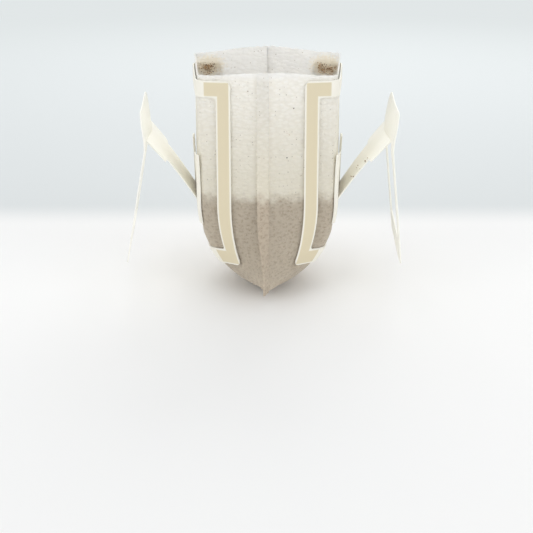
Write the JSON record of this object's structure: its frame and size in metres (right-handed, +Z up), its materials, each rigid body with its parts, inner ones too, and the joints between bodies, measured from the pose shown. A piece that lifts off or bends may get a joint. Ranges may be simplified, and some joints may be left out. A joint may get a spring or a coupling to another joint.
{
  "type": "drip coffee bag",
  "caption": "Opened drip coffee bag: a nonwoven filter pouch of ground coffee, held open and hung on a cup's rim by die-cut card hangers.",
  "frame": {"origin": "middle of the circle of the cup's rim that the bag hangs on", "axes": "+Z up, the ears point along +X and -X, and the side seams stand at +Y and -Y"},
  "size_m": [0.0811, 0.058, 0.0658],
  "materials": {
    "nonwoven": "thin embossed nonwoven, matt",
    "card": "uncoated card, matt",
    "coffee": "loose ground coffee, matt"
  },
  "bodies": {
    "root": {"filter_pouch": "nonwoven", "coffee_grounds": "coffee", "card_frame_left": "card", "card_frame_right": "card", "hanger_left": "card", "hanger_right": "card"}
  },
  "joints": []
}
